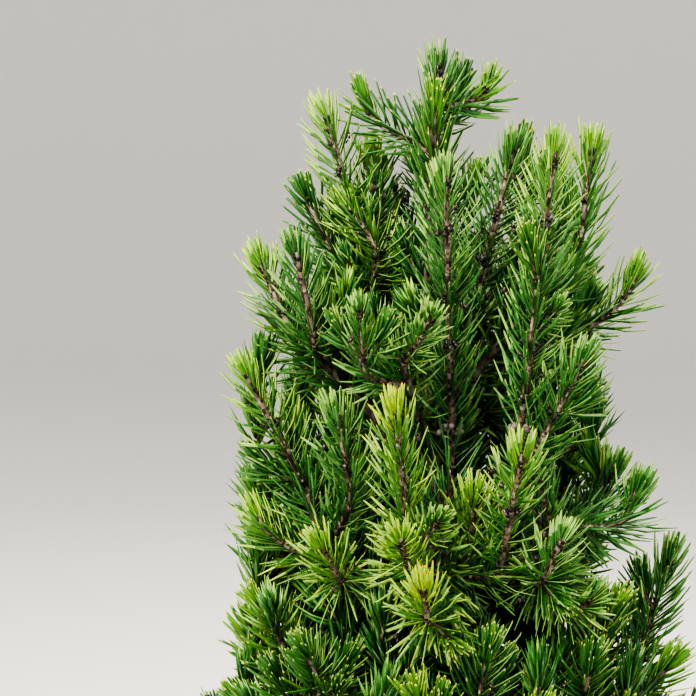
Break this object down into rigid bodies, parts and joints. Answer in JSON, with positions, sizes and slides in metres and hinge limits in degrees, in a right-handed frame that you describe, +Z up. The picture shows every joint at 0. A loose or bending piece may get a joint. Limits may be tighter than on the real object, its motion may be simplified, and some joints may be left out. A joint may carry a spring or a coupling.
{
  "type": "potted dwarf spruce",
  "caption": "Small cone-shaped evergreen with short stiff needles on upright shoots, rising in tiers from the potting mix of a plain round clay pot.",
  "frame": {"origin": "middle of the pot's flat underside, on the surface that it stands on", "axes": "+Z up the trunk, -Y towards the viewer of the picture, +X to the viewer's right"},
  "size_m": [0.143, 0.1403, 0.3825],
  "materials": {
    "fired_clay": "matte",
    "potting_mix": "matte",
    "bark": "matte",
    "needles": "satin"
  },
  "bodies": {
    "root": {"bough_1_1": "bark", "bough_1_2": "bark", "bough_1_3": "bark", "bough_1_4": "bark", "bough_1_5": "bark", "bough_2_1": "bark", "bough_2_2": "bark", "bough_2_3": "bark", "bough_2_4": "bark", "bough_2_5": "bark", "bough_3_1": "bark", "bough_3_2": "bark", "bough_3_3": "bark", "bough_3_4": "bark", "bough_3_5": "bark", "bough_4_1": "bark", "bough_4_2": "bark", "bough_4_3": "bark", "bough_4_4": "bark", "bough_4_5": "bark", "bough_4_6": "bark", "bough_5_1": "bark", "bough_5_2": "bark", "bough_5_3": "bark", "bough_5_4": "bark", "bough_5_5": "bark", "bough_5_6": "bark", "foliage_1_1": "needles", "foliage_1_2": "needles", "foliage_1_3": "needles", "foliage_1_4": "needles", "foliage_1_5": "needles", "foliage_2_1": "needles", "foliage_2_2": "needles", "foliage_2_3": "needles", "foliage_2_4": "needles", "foliage_2_5": "needles", "foliage_3_1": "needles", "foliage_3_2": "needles", "foliage_3_3": "needles", "foliage_3_4": "needles", "foliage_3_5": "needles", "foliage_4_1": "needles", "foliage_4_2": "needles", "foliage_4_3": "needles", "foliage_4_4": "needles", "foliage_4_5": "needles", "foliage_4_6": "needles", "foliage_5_1": "needles", "foliage_5_2": "needles", "foliage_5_3": "needles", "foliage_5_4": "needles", "foliage_5_5": "needles", "foliage_5_6": "needles", "foliage_6_1": "needles", "pot": "fired_clay", "potting_mix": "potting_mix", "trunk": "bark"}
  },
  "joints": []
}
